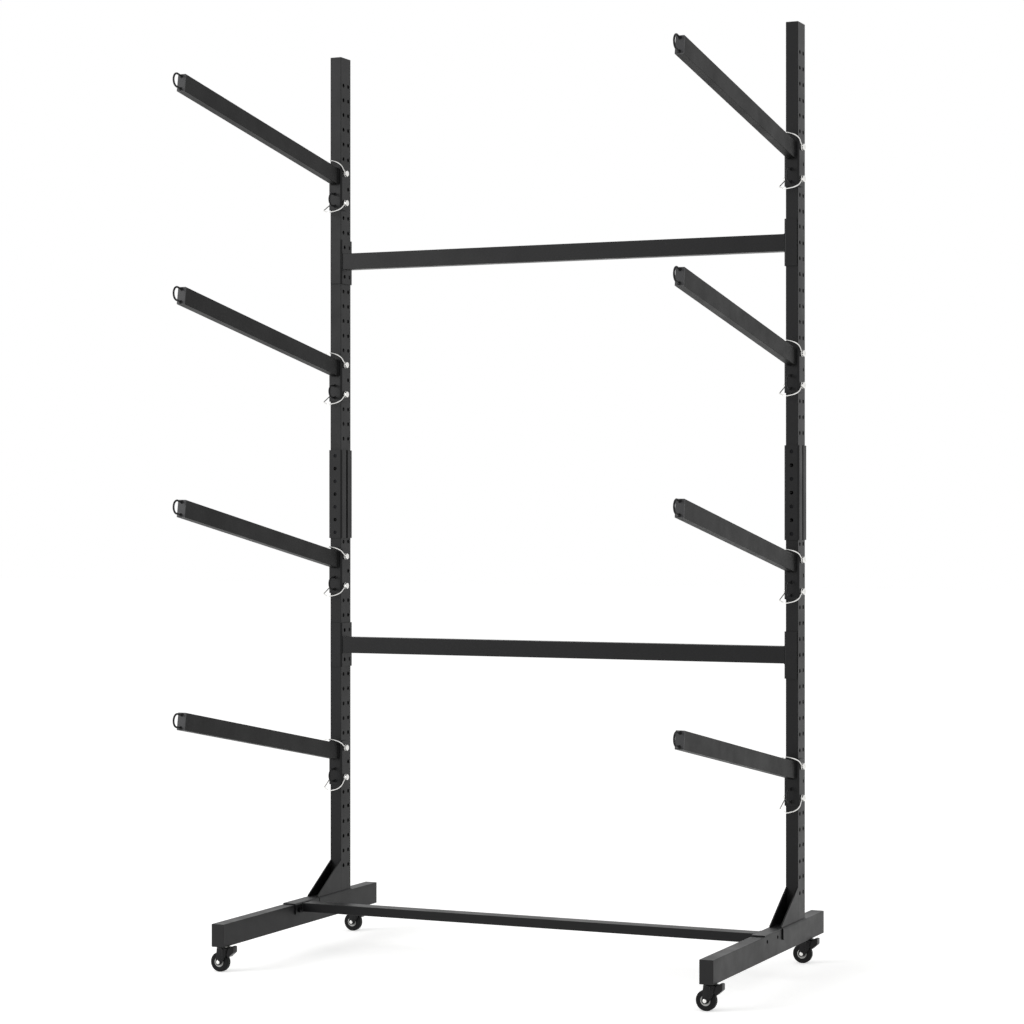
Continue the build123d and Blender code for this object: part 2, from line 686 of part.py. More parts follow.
with BuildPart() as brake_pedal:
    pedal_half = cheek_inside - running_gap
    with BuildSketch(Plane.XZ.offset(-pedal_half)):
        with Locations(brake_pivot):
            Circle(brake_boss_diameter / 2)
        with Locations((brake_toe_x, brake_toe_z)):
            Circle(brake_toe_diameter / 2)
        with Locations((brake_heel_x, brake_heel_z)):
            Circle(brake_heel_diameter / 2)
        make_hull()
        with Locations(brake_pivot):
            Circle(brake_pin_diameter / 2 + running_gap, mode=Mode.SUBTRACT)
    extrude(amount=2 * pedal_half)

for castor, (x, y) in castor_places.items():
    with BuildPart() as fork:
        with Locations((x, y, 0)):
            add(yoke.part)
            add(axle.part)
            add(brake_pin.part)
    write(fork.part, f"{castor}_fork")
    write(copies(wheel.part, [(x - castor_trail, y, wheel_radius)]), f"{castor}_wheel")
    write(copies(brake_pedal.part, [(x, y, 0)]), f"{castor}_brake")
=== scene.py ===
"""Freestanding kayak rack, dressed for the studio. Metres, +Z up, arms towards -Y."""
import bpy
import bmesh
import json
import math
from mathutils import Matrix, Vector


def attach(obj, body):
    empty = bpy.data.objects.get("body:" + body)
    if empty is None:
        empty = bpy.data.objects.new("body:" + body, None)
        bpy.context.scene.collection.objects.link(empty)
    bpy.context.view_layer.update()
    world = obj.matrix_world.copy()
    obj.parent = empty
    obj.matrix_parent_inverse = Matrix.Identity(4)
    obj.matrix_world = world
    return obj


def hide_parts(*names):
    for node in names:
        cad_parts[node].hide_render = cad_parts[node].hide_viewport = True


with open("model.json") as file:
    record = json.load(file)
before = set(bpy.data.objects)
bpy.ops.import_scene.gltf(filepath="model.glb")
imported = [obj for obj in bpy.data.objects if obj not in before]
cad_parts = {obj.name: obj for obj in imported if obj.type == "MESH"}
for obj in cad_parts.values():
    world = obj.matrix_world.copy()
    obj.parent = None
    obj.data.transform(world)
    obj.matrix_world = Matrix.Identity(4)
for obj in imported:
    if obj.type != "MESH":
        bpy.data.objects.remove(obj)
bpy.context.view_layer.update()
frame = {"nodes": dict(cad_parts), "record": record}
bpy.ops.object.select_all(action="DESELECT")

MM = 0.001


# ---- colours and shader nodes -------------------------------------------------------
def hex_colour(code):
    """sRGB hex to linear RGBA."""
    channels = [int(code[i:i + 2], 16) / 255 for i in (1, 3, 5)]
    linear = [c / 12.92 if c <= 0.04045 else ((c + 0.055) / 1.055) ** 2.4 for c in channels]
    return (*linear, 1.0)


def add_node(tree, kind, settings=None, links=None, values=None):
    """Adds a shader node: attribute settings, links into its inputs, and input values."""
    node = tree.nodes.new(kind)
    for name, value in (settings or {}).items():
        setattr(node, name, value)
    for name, value in (values or {}).items():
        node.inputs[name].default_value = value
    for name, socket in (links or {}).items():
        tree.links.new(socket, node.inputs[name])
    return node


def per_metre(feature):
    """Pattern scale at which a feature is this many millimetres across."""
    return 1.0 / (feature * MM)


def new_material(name):
    """An empty node material with its output and object coordinates."""
    material = bpy.data.materials.new(name)
    material.use_nodes = True
    tree = material.node_tree
    tree.nodes.clear()
    output = add_node(tree, "ShaderNodeOutputMaterial")
    coordinates = add_node(tree, "ShaderNodeTexCoord")
    return material, tree, output, coordinates.outputs["Object"]


def powder_coat(name, base, pale, roughness, ior=1.28):
    """Polyester powder, sprayed dry and cured in an oven.

    It flows out into a satin film with a fine orange peel, and it is thicker, glossier and a
    touch darker in some patches than in others. Handling leaves pale rubbed marks.
    """
    material, tree, output, place = new_material(name)
    # The peel is about 1 mm across; it is drawn at 3 mm so that it shows.
    peel = add_node(tree, "ShaderNodeTexNoise", links={"Vector": place},
                    values={"Scale": per_metre(3.03), "Detail": 2.0, "Roughness": 0.5})
    # The film's thickness drifts over 70 mm or so.
    drift = add_node(tree, "ShaderNodeTexNoise", links={"Vector": place},
                     values={"Scale": per_metre(71.4), "Detail": 3.0, "Roughness": 0.6})
    tone = add_node(tree, "ShaderNodeMix", {"data_type": "RGBA"}, {0: drift.outputs["Fac"]},
                    {6: hex_colour(base), 7: hex_colour(pale)})
    # Rubbed marks up to 14 mm wide and 45 mm long, where hulls and straps slide front to rear.
    mark_width, mark_length = per_metre(14.29), per_metre(45.45)
    smear = add_node(tree, "ShaderNodeMapping", links={"Vector": place},
                     values={"Scale": (mark_width, mark_length, mark_width)})
    rubbed = add_node(tree, "ShaderNodeTexNoise", links={"Vector": smear.outputs["Vector"]},
                      values={"Scale": 1.0, "Detail": 4.0, "Roughness": 0.7})
    rubbed = add_node(tree, "ShaderNodeMapRange", links={"Value": rubbed.outputs["Fac"]},
                      values={"From Min": 0.62, "From Max": 0.78, "To Min": 0.0, "To Max": 0.35})
    tone = add_node(tree, "ShaderNodeMix", {"data_type": "RGBA"},
                    {0: rubbed.outputs["Result"], 6: tone.outputs[2]}, {7: hex_colour("#2c2c2d")})
    gloss = add_node(tree, "ShaderNodeMapRange", links={"Value": drift.outputs["Fac"]},
                     values={"From Min": 0.3, "From Max": 0.7, "To Min": roughness - 0.05,
                             "To Max": roughness + 0.05})
    bump = add_node(tree, "ShaderNodeBump", links={"Height": peel.outputs["Fac"]},
                    values={"Strength": 0.25, "Distance": 0.3 * MM})
    shader = add_node(tree, "ShaderNodeBsdfPrincipled",
                      links={"Base Color": tone.outputs[2], "Roughness": gloss.outputs["Result"],
                             "Normal": bump.outputs["Normal"]},
                      values={"IOR": ior})
    tree.links.new(shader.outputs["BSDF"], output.inputs["Surface"])
    return material


def plated_steel(name, base, pale, roughness):
    """Drawn wire, turned pins or bolts with a thin zinc or black oxide skin.

    The bath leaves a slightly clouded skin, duller where it is thicker, and the steel's tiny
    pits and die lines still break up the highlights.
    """
    material, tree, output, place = new_material(name)
    # Clouds about 6 mm across.
    cloud = add_node(tree, "ShaderNodeTexNoise", links={"Vector": place},
                     values={"Scale": per_metre(6.25), "Detail": 3.0, "Roughness": 0.6})
    # Pits and die lines are a few hundredths of a millimetre; they are drawn at 0.8 mm.
    pits = add_node(tree, "ShaderNodeTexNoise", links={"Vector": place},
                    values={"Scale": per_metre(0.8), "Detail": 1.0, "Roughness": 0.5})
    tone = add_node(tree, "ShaderNodeMix", {"data_type": "RGBA"}, {0: cloud.outputs["Fac"]},
                    {6: hex_colour(base), 7: hex_colour(pale)})
    gloss = add_node(tree, "ShaderNodeMapRange", links={"Value": cloud.outputs["Fac"]},
                     values={"From Min": 0.3, "From Max": 0.7, "To Min": roughness - 0.06,
                             "To Max": roughness + 0.06})
    bump = add_node(tree, "ShaderNodeBump", links={"Height": pits.outputs["Fac"]},
                    values={"Strength": 0.1, "Distance": 0.1 * MM})
    shader = add_node(tree, "ShaderNodeBsdfPrincipled",
                      links={"Base Color": tone.outputs[2], "Roughness": gloss.outputs["Result"],
                             "Normal": bump.outputs["Normal"]},
                      values={"Metallic": 1.0})
    tree.links.new(shader.outputs["BSDF"], output.inputs["Surface"])
    return material


def moulded_polymer(name, base, pale, roughness, grain, ior=1.49):
    """Injection moulded polymer.

    It copies the spark-eroded grain of its mould, more faintly the glossier it is, and its
    colour varies a little with the flow.
    """
    material, tree, output, place = new_material(name)
    # The grain is about 0.3 mm; it is drawn at 1.1 mm so that it shows.
    spark = add_node(tree, "ShaderNodeTexNoise", links={"Vector": place},
                     values={"Scale": per_metre(1.11), "Detail": 2.0, "Roughness": 0.6})
    # Flow marks some 17 mm across.
    flow = add_node(tree, "ShaderNodeTexNoise", links={"Vector": place},
                    values={"Scale": per_metre(16.67), "Detail": 2.0, "Roughness": 0.5})
    tone = add_node(tree, "ShaderNodeMix", {"data_type": "RGBA"}, {0: flow.outputs["Fac"]},
                    {6: hex_colour(base), 7: hex_colour(pale)})
    gloss = add_node(tree, "ShaderNodeMapRange", links={"Value": flow.outputs["Fac"]},
                     values={"From Min": 0.3, "From Max": 0.7, "To Min": roughness - 0.05,
                             "To Max": roughness + 0.05})
    bump = add_node(tree, "ShaderNodeBump", links={"Height": spark.outputs["Fac"]},
                    values={"Strength": grain, "Distance": 0.2 * MM})
    shader = add_node(tree, "ShaderNodeBsdfPrincipled",
                      links={"Base Color": tone.outputs[2], "Roughness": gloss.outputs["Result"],
                             "Normal": bump.outputs["Normal"]},
                      values={"IOR": ior})
    tree.links.new(shader.outputs["BSDF"], output.inputs["Surface"])
    return material


def cast_tread(name):
    """Polyurethane cast round the hub and trimmed on a lathe.

    It keeps fine turning rings, and dull grey scuffs where it rolls.
    """
    material, tree, output, place = new_material(name)
    # The rings are 0.2 mm apart; they are drawn 1 mm apart so that they show. A wave texture
    # has 20 bands in a turn of tau.
    ring_scale = math.tau / 20 * per_metre(1.0)
    rings = add_node(tree, "ShaderNodeTexWave",
                     {"wave_type": "BANDS", "bands_direction": "Y", "wave_profile": "SIN"},
                     {"Vector": place}, {"Scale": ring_scale, "Distortion": 0.4, "Detail": 1.0})
    # Scuffs some 6 mm across.
    scuff = add_node(tree, "ShaderNodeTexNoise", links={"Vector": place},
                     values={"Scale": per_metre(5.56), "Detail": 4.0, "Roughness": 0.65})
    scuffed = add_node(tree, "ShaderNodeMapRange", links={"Value": scuff.outputs["Fac"]},
                       values={"From Min": 0.5, "From Max": 0.75, "To Min": 0.0, "To Max": 0.6})
    tone = add_node(tree, "ShaderNodeMix", {"data_type": "RGBA"}, {0: scuffed.outputs["Result"]},
                    {6: hex_colour("#060607"), 7: hex_colour("#121214")})
    gloss = add_node(tree, "ShaderNodeMapRange", links={"Value": scuff.outputs["Fac"]},
                     values={"From Min": 0.3, "From Max": 0.7, "To Min": 0.5, "To Max": 0.7})
    bump = add_node(tree, "ShaderNodeBump", links={"Height": rings.outputs["Fac"]},
                    values={"Strength": 0.15, "Distance": 0.1 * MM})
    shader = add_node(tree, "ShaderNodeBsdfPrincipled",
                      links={"Base Color": tone.outputs[2], "Roughness": gloss.outputs["Result"],
                             "Normal": bump.outputs["Normal"]},
                      values={"IOR": 1.28})
    tree.links.new(shader.outputs["BSDF"], output.inputs["Surface"])
    return material


def coated_weld(name):
    """Arc-welded fillet under the same powder as the frame.

    The puddle freezes in ripples and the powder rounds them over, so the seam is lumpy and
    catches small highlights along its length.
    """
    material, tree, output, place = new_material(name)
    # Ripples about 1.6 mm apart, with spatter of some 4 mm between them.
    ripple = add_node(tree, "ShaderNodeTexNoise", links={"Vector": place},
                      values={"Scale": per_metre(1.61), "Detail": 2.0, "Roughness": 0.6})
    lump = add_node(tree, "ShaderNodeTexNoise", links={"Vector": place},
                    values={"Scale": per_metre(4.17), "Detail": 1.0, "Roughness": 0.5})
    relief = add_node(tree, "ShaderNodeMath", {"operation": "ADD"},
                      {0: ripple.outputs["Fac"], 1: lump.outputs["Fac"]})
    tone = add_node(tree, "ShaderNodeMix", {"data_type": "RGBA"}, {0: lump.outputs["Fac"]},
                    {6: hex_colour("#0b0b0c"), 7: hex_colour("#121213")})
    gloss = add_node(tree, "ShaderNodeMapRange", links={"Value": ripple.outputs["Fac"]},
                     values={"From Min": 0.3, "From Max": 0.7, "To Min": 0.34, "To Max": 0.46})
    bump = add_node(tree, "ShaderNodeBump", links={"Height": relief.outputs[0]},
                    values={"Strength": 0.6, "Distance": 0.5 * MM})
    shader = add_node(tree, "ShaderNodeBsdfPrincipled",
                      links={"Base Color": tone.outputs[2], "Roughness": gloss.outputs["Result"],
                             "Normal": bump.outputs["Normal"]},
                      values={"IOR": 1.28})
    tree.links.new(shader.outputs["BSDF"], output.inputs["Surface"])
    return material


frame_coat = powder_coat("satin black powder coat", "#0d0d0e", "#131314", roughness=0.42)
# The end plates wear the frame's black powder, painted a lighter grey: the lighter tone is a
# painted reflection of the bright surround on their tilted faces.
end_plate_painted_sheen = powder_coat("dark grey powder coat", "#3a3a3b", "#444445", roughness=0.45)
arm_coat = powder_coat("flatter black powder coat", "#0c0c0c", "#111111", roughness=0.5, ior=1.24)
# The castors' pressings are dipped: the paint flows out like the powder, but glossier.
castor_coat = powder_coat("black dipped steel", "#0c0c0d", "#131314", roughness=0.28)
bright_zinc = plated_steel("bright zinc plate", "#d6d6d4", "#ecebe8", roughness=0.24)
race_zinc = plated_steel("yellowed zinc plate", "#9c9c98", "#b4b4b0", roughness=0.3)
black_oxide = plated_steel("black oxide steel", "#121213", "#1c1c1e", roughness=0.45)
cap_plastic = moulded_polymer("black polyethylene", "#0a0a0b", "#101011",
                              roughness=0.5, grain=0.3, ior=1.35)
hub_plastic = moulded_polymer("grey polyamide", "#bcbcba", "#c6c6c4", roughness=0.35, grain=0.2)
brake_plastic = moulded_polymer("glossy black polyamide", "#050506", "#0a0a0b",
                                roughness=0.3, grain=0.1, ior=1.3)
tyre_rubber = cast_tread("black polyurethane tread")
seam_coat = coated_weld("powder coated weld seam")

slot_finish = {
    "powder_coat": frame_coat, "end_plate_coat": end_plate_painted_sheen, "bright_zinc": bright_zinc,
    "bolt_steel": black_oxide, "cap_plastic": cap_plastic, "castor_steel": castor_coat,
    "wheel_rubber": tyre_rubber, "brake_plastic": brake_plastic,
}
for part in frame["record"]["subparts"]:
    finish = slot_finish[part["material_slot"]]
    if part["node"] == "castor_stems":
        finish = race_zinc
    elif "_arm_" in part["node"]:
        finish = arm_coat
    materials = frame["nodes"][part["node"]].data.materials
    materials.clear()
    materials.append(finish)


# ---- places, read off the frame -------------------------------------------------------
joint_place = {joint["name"]: joint["pos_m"] for joint in frame["record"]["behaviour"]["joints"]}


def node_box(name):
    """Lowest and highest corner of a CAD node, in metres."""
    node = frame["nodes"][name]
    corners = [node.matrix_world @ Vector(corner) for corner in node.bound_box]
    return [Vector([limit(corner[axis] for corner in corners) for axis in range(3)])
            for limit in (min, max)]


# ---- modelling by hand ---------------------------------------------------------------
def settle(name, smooth_below=35.0):
    """Back to object mode, place and size moved into the mesh, smooth up to an angle."""
    piece = bpy.context.object
    if piece.mode == "EDIT":
        bpy.ops.object.mode_set(mode="OBJECT")
    piece.name = name
    bpy.ops.object.transform_apply(location=True, rotation=True, scale=True)
    bpy.ops.object.shade_smooth_by_angle(angle=math.radians(smooth_below))
    return piece


def open_for_edit():
    """Moves a new primitive's place and size into its mesh, and opens it with nothing selected."""
    bpy.ops.object.transform_apply(location=True, rotation=True, scale=True)
    bpy.ops.object.mode_set(mode="EDIT")
    bpy.ops.mesh.select_all(action="DESELECT")


def block(low, high):
    """A block between two corners in millimetres, open for edit."""
    middle = [(a + b) / 2 * MM for a, b in zip(low, high)]
    sides = [(b - a) * MM for a, b in zip(low, high)]
    bpy.ops.mesh.primitive_cube_add(size=1.0, location=middle, scale=sides)
    open_for_edit()


def disc(centre, radius, width, sides=48):
    """A cylinder with its axis along Y, sized in millimetres, open for edit."""
    bpy.ops.mesh.primitive_cylinder_add(vertices=sides, radius=radius * MM, depth=width * MM,
                                        location=[c * MM for c in centre],
                                        rotation=(math.radians(90.0), 0.0, 0.0))
    open_for_edit()


def pick(kind, test):
    """Selects the faces, edges or vertices that pass a test, and nothing else."""
    bpy.ops.mesh.select_mode(type={"faces": "FACE", "edges": "EDGE", "verts": "VERT"}[kind])
    bpy.ops.mesh.select_all(action="DESELECT")
    mesh = bpy.context.object.data
    shape = bmesh.from_edit_mesh(mesh)
    for item in getattr(shape, kind):
        if test(item):
            item.select_set(True)
    shape.select_flush_mode()
    bmesh.update_edit_mesh(mesh)


def middle_of(item):
    """Middle of a face or an edge, in millimetres."""
    corners = [corner.co for corner in item.verts]
    return sum(corners, Vector()) / len(corners) / MM


def cut_along(start, end, close):
    """Cuts through two places (x, z) in millimetres, and drops what is right of the line.

    The line runs from start to end, seen from the front.
    """
    outwards = Vector((end[1] - start[1], 0.0, start[0] - end[0])).normalized()
    bpy.ops.mesh.select_mode(type="VERT")
    bpy.ops.mesh.select_all(action="SELECT")
    bpy.ops.mesh.bisect(plane_co=(start[0] * MM, 0.0, start[1] * MM), plane_no=outwards,
                        clear_outer=True, use_fill=close)


def near(value, wanted, slack=0.05):
    """Whether two lengths in millimetres agree."""
    return abs(value - wanted) < slack


def use_modifier(kind, settings):
    """Adds a modifier to the active piece and applies it."""
    modifier = bpy.context.object.modifiers.new(kind.lower(), kind)
    for name, value in settings.items():
        setattr(modifier, name, value)
    bpy.ops.object.modifier_apply(modifier=modifier.name)


def soften_edges(width):
    """Rounds every edge sharper than 40 degrees, by a width in millimetres."""
    use_modifier("BEVEL", {"width": width * MM, "segments": 2, "limit_method": "ANGLE",
                           "angle_limit": math.radians(40.0)})


def face_outwards():
    """Turns all faces of the open piece outwards."""
    bpy.ops.mesh.select_all(action="SELECT")
    bpy.ops.mesh.normals_make_consistent(inside=False)


def join(first, others, name):
    """Joins pieces into the first."""
    bpy.ops.object.select_all(action="DESELECT")
    for piece in [first, *others]:
        piece.select_set(True)
    bpy.context.view_layer.objects.active = first
    bpy.ops.object.join()
    first.name = name
    bpy.ops.object.select_all(action="DESELECT")
    return first


def place_copy(master, name, move):
    """A copy with its own mesh, moved there in its mesh."""
    piece = master.copy()
    piece.data = master.data.copy()
    piece.data.transform(move)
    piece.name = name
    bpy.context.collection.objects.link(piece)
    return piece


# ---- castors: all four are alike, so one is made over the origin ----------------------
# Sizes are in millimetres. Places are (x, z), from the swivel's axis and the floor, and the
# wheel trails towards -x. A half is from the wheel's middle plane to one side.
castor_names = [f"{end}_{side}" for end in ("front", "rear") for side in ("left", "right")]
stem_place = {name: joint_place[f"{name}_swivel"][:2] for name in castor_names}


def place_in_castor(joint):
    """Where a joint lies in every castor."""
    castor = castor_names[0]
    place = joint_place[f"{castor}_{joint}"]
    return (place[0] - stem_place[castor][0]) / MM, place[2] / MM


axle = place_in_castor("spin")
brake_pivot = place_in_castor("brake_hinge")

fork_half = 12.3            # outer faces of the cheeks
fork_sheet = 2.0
fork_edge = 0.4
crown_top = 58.4
crown_fold = 3.0            # outside radius of the folds between crown and cheeks
crown_rear = (-15.0, crown_top)
crown_front = (12.0, 56.0)
cheek_waist = (5.3, 33.0)
cheek_toe = (-5.0, 16.5)    # the cheek's lower corners, before they are rounded
cheek_heel = (-18.9, 16.5)
cheek_rounds = ((cheek_heel, 6.2), (cheek_toe, 4.5), (cheek_waist, 6.0))
boss_radius = 6.2           # pressed round the axle
boss_width = 1.2
boss_proud = 0.9            # beyond the cheek
boss_round = 0.5
rib_low = (-2.0, 30.0)
rib_high = (3.6, 55.0)
rib_root = 0.3              # sunk into the cheek
rib_proud = 1.5             # beyond the cheek
rib_round = 0.9
rib_draft = (0.5, 1.0, 0.88)
cut_spare = 0.6             # left beyond an outline for the cuts to take away

rivet_half = 12.4           # shank, between the heads
rivet_neck = 0.2            # shank drawn in under a head
rivet_flare = 0.8           # length over which it widens to the head
rivet_dome = 0.55           # rounded share of a head's height

wheel_radius = axle[1]
tread_half = 8.5
tread_round = 4.0
groove_radius = 17.0        # outer edge of the groove in each side of the tread
groove_width = 1.2
groove_depth = 0.6
hub_radius = 11.4
hub_half = 8.3
hub_edge = 0.35
rim_wall = 1.6
web_width = 3.8
web_sink = 4.4              # web below the rim
hub_boss_wall = 2.7
hub_boss_proud = 1.5        # boss beyond the rim

lobe_half = 10.0
lobe_top = 60.8
# The pedal's outline, from its brow round the back and the heel to the toe.
lobe_brow = (19.85, lobe_top)
lobe_nape = (4.0, 49.49)
lobe_back = (4.0, 44.71)
lobe_heel = (12.73, 34.31)
lobe_toe = (27.0, 46.8)
lobe_corner_round = 2.0
lobe_edge_round = 1.0


def make_fork():
    """Folded steel yoke: a crown and two cheeks that taper to the axle, with rounded folds."""
    block((cheek_heel[0] - cut_spare, -fork_half, cheek_heel[1]),
          (crown_front[0], fork_half, crown_top))
    pick("faces", lambda f: f.normal.z < -0.5 or abs(f.normal.x) > 0.5)
    bpy.ops.mesh.delete(type="FACE")
    pick("edges", lambda e: near(middle_of(e).z, crown_top)
         and near(abs(middle_of(e).y), fork_half))
    bpy.ops.mesh.bevel(offset=crown_fold * MM, segments=4)
    cut_along(crown_rear, cheek_heel, False)
    cut_along(cheek_toe, cheek_waist, False)
    cut_along(cheek_waist, crown_front, False)
    for corner, radius in cheek_rounds:
        pick("verts", lambda v: math.dist((v.co.x / MM, v.co.z / MM), corner) < 1.0)
        bpy.ops.mesh.bevel(offset=radius * MM, segments=6, affect="VERTICES")
    bpy.ops.object.mode_set(mode="OBJECT")
    use_modifier("SOLIDIFY", {"thickness": fork_sheet * MM, "offset": -1.0})
    soften_edges(fork_edge)
    yoke = settle("fork_yoke")
    pressings = []
    for side in (-1, 1):
        # A boss round the axle, sunk a little into the cheek.
        boss_middle = side * (fork_half + boss_proud - boss_width / 2)
        disc((axle[0], boss_middle, axle[1]), boss_radius, boss_width)
        pick("faces", lambda f: f.normal.y * side > 0.9)
        bpy.ops.mesh.bevel(offset=boss_round * MM, segments=2)
        pressings.append(settle(f"fork_boss_{len(pressings)}"))
        # A stiffening rib pressed out of the cheek, with drafted flanks.
        low_y, high_y = sorted((side * (fork_half - rib_root), side * (fork_half + rib_proud)))
        block((rib_low[0], low_y, rib_low[1]), (rib_high[0], high_y, rib_high[1]))
        pick("faces", lambda f: f.normal.y * side > 0.9)
        bpy.ops.transform.resize(value=rib_draft)
        pick("edges", lambda e: near(middle_of(e).y * side, fork_half + rib_proud))
        bpy.ops.mesh.bevel(offset=rib_round * MM, segments=4)
        pressings.append(settle(f"fork_rib_{len(pressings)}", smooth_below=50.0))
    return join(yoke, pressings, "fork_yoke")


def make_rivet(name, place, shank, head, height):
    """A rivet across the fork, with a shank and domed heads of these radii."""
    disc((place[0], 0.0, place[1]), shank, 2 * rivet_half, 24)
    pick("faces", lambda f: abs(f.normal.y) > 0.9)
    bpy.ops.mesh.inset(thickness=rivet_neck * MM, use_individual=True)
    grow = head / (shank - rivet_neck)
    for side in (-1, 1):
        pick("faces", lambda f: f.normal.y * side > 0.9 and len(f.verts) > 4)
        for step, scale in ((rivet_flare, grow), (height - rivet_flare, 1.0)):
            out = (0.0, side * step * MM, 0.0)
            bpy.ops.mesh.extrude_region_move(TRANSFORM_OT_translate={"value": out})
            bpy.ops.transform.resize(value=(scale, 1.0, scale))
        bpy.ops.mesh.bevel(offset=height * rivet_dome * MM, segments=4)
    return settle(name)


def make_tyre():
    """Cast tread: a ring with rounded shoulders and a shallow groove round each side."""
    disc((axle[0], 0.0, axle[1]), wheel_radius, 2 * tread_half, 72)
    pick("faces", lambda f: abs(f.normal.y) > 0.9)
    groove_inside = groove_radius - groove_width
    for step in (wheel_radius - groove_radius, groove_width, groove_inside - hub_radius):
        bpy.ops.mesh.inset(thickness=step * MM)
    bpy.ops.mesh.bridge_edge_loops()

    def reach(item):
        """How far a face or an edge lies from the axle."""
        centre = middle_of(item)
        return math.dist((centre.x, centre.z), axle)

    pick("faces", lambda f: abs(f.normal.y) > 0.9 and groove_inside < reach(f) < groove_radius)
    bpy.ops.mesh.extrude_region_shrink_fatten(
        TRANSFORM_OT_shrink_fatten={"value": -groove_depth * MM})
    pick("edges", lambda e: reach(e) > wheel_radius - 0.1 and near(abs(middle_of(e).y), tread_half))
    bpy.ops.mesh.bevel(offset=tread_round * MM, segments=6)
    face_outwards()
    return settle("tyre")


def make_hub():
    """Moulded hub: a rim, a web sunk between rim and boss, and a boss that runs on the axle."""
    disc((axle[0], 0.0, axle[1]), hub_radius, 2 * hub_half)
    pick("faces", lambda f: abs(f.normal.y) > 0.9)
    for wall, rise in ((rim_wall, -web_sink), (web_width, web_sink + hub_boss_proud)):
        bpy.ops.mesh.inset(thickness=wall * MM)
        bpy.ops.mesh.extrude_region_shrink_fatten(TRANSFORM_OT_shrink_fatten={"value": rise * MM})
    bpy.ops.mesh.inset(thickness=hub_boss_wall * MM)
    bpy.ops.mesh.bridge_edge_loops()
    face_outwards()
    bpy.ops.object.mode_set(mode="OBJECT")
    soften_edges(hub_edge)
    return settle("hub")


def make_brake():
    """Moulded brake pedal: a stout lobe with a rounded toe and a heel that meets the tread."""
    block((lobe_back[0], -lobe_half, lobe_heel[1] - cut_spare),
          (lobe_toe[0], lobe_half, lobe_top))
    cut_along(lobe_brow, lobe_nape, True)
    cut_along(lobe_heel, lobe_toe, True)
    cut_along(lobe_back, lobe_heel, True)
    pick("edges", lambda e: near(abs(e.verts[0].co.y - e.verts[1].co.y) / MM, 2 * lobe_half))
    bpy.ops.mesh.bevel(offset=lobe_corner_round * MM, segments=5)
    pick("edges", lambda e: near(abs(middle_of(e).y), lobe_half))
    bpy.ops.mesh.bevel(offset=lobe_edge_round * MM, segments=4)
    face_outwards()
    return settle("brake_lobe", smooth_below=50.0)


axle_rivet = make_rivet("axle", axle, shank=3.0, head=4.5, height=2.2)
brake_rivet = make_rivet("brake_rivet", brake_pivot, shank=2.0, head=2.8, height=0.9)
# Per moving part of a castor: its pieces, each with its finish and its slot in the record.
castor_kit = {
    "fork": [(make_fork(), castor_coat, "castor_steel"),
             (axle_rivet, bright_zinc, "bright_zinc"),
             (brake_rivet, castor_coat, "castor_steel")],
    "wheel": [(make_tyre(), tyre_rubber, "wheel_rubber"),
              (make_hub(), hub_plastic, "wheel_rubber")],
    "brake": [(make_brake(), brake_plastic, "brake_plastic")],
}
for part_name, kit in castor_kit.items():
    for master, finish, record_slot in kit:
        master.data.materials.append(finish)
        for castor in castor_names:
            move = Matrix.Translation((*stem_place[castor], 0.0))
            piece = place_copy(master, f"{castor}_{master.name}", move)
            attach(piece, f"{castor}_{part_name}")
            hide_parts(f"{castor}_{part_name}")
        bpy.data.objects.remove(master)


# ---- weld seams: one of each size is made over the origin -----------------------------
# Sizes are in millimetres.
seam_radius = 1.5
seam_bend = 2.0             # radius of the seam's middle line round a tube's corner
seam_outset = 0.3           # that line beyond the tube's faces
seam_lump = 0.22
collar_foot = 4.4           # radii of a collar at its foot and its neck
collar_neck = 2.4
collar_length = 2.6
collar_lump = 0.15
arm_width = 20.0
arm_height = 40.0
arm_run = 750.5             # root to the outer face of the end plate
arm_lean = 9.8              # degrees
loop_half = 15.0            # middle of a strap loop to each of its feet
bracket_loop_drop = 30.5    # middle of an arm bracket down to its strap loop


def make_seam(name, across, width, height):
    """A fillet weld round a tube's end, lying in a plane across X (0) or Y (1)."""
    turn = ((0.0, math.radians(90.0), 0.0), (math.radians(90.0), 0.0, 0.0))[across]
    bpy.ops.mesh.primitive_torus_add(major_radius=seam_bend * MM, minor_radius=seam_radius * MM,
                                     major_segments=24, minor_segments=10, rotation=turn)
    open_for_edit()
    # The ring is pulled apart along the tube's width and height.
    for axis, length in ((1 - across, width), (2, height)):
        for way in (-1, 1):
            pick("verts", lambda v: v.co[axis] * way > 0.01 * MM)
            step = [0.0, 0.0, 0.0]
            step[axis] = way * (length / 2 + seam_outset - seam_bend) * MM
            bpy.ops.transform.translate(value=step)
    # Its straight sides are divided into lengths of 2 to 3 mm, so that the weld can be lumpy.
    for shortest, cuts in ((8.0, 7), (4.4, 1)):
        pick("edges", lambda e: e.calc_length() > shortest * MM)
        bpy.ops.mesh.subdivide(number_cuts=cuts)
    bpy.ops.mesh.select_all(action="SELECT")
    bpy.ops.transform.vertex_random(offset=seam_lump * MM, seed=4)
    return settle(name, smooth_below=60.0)


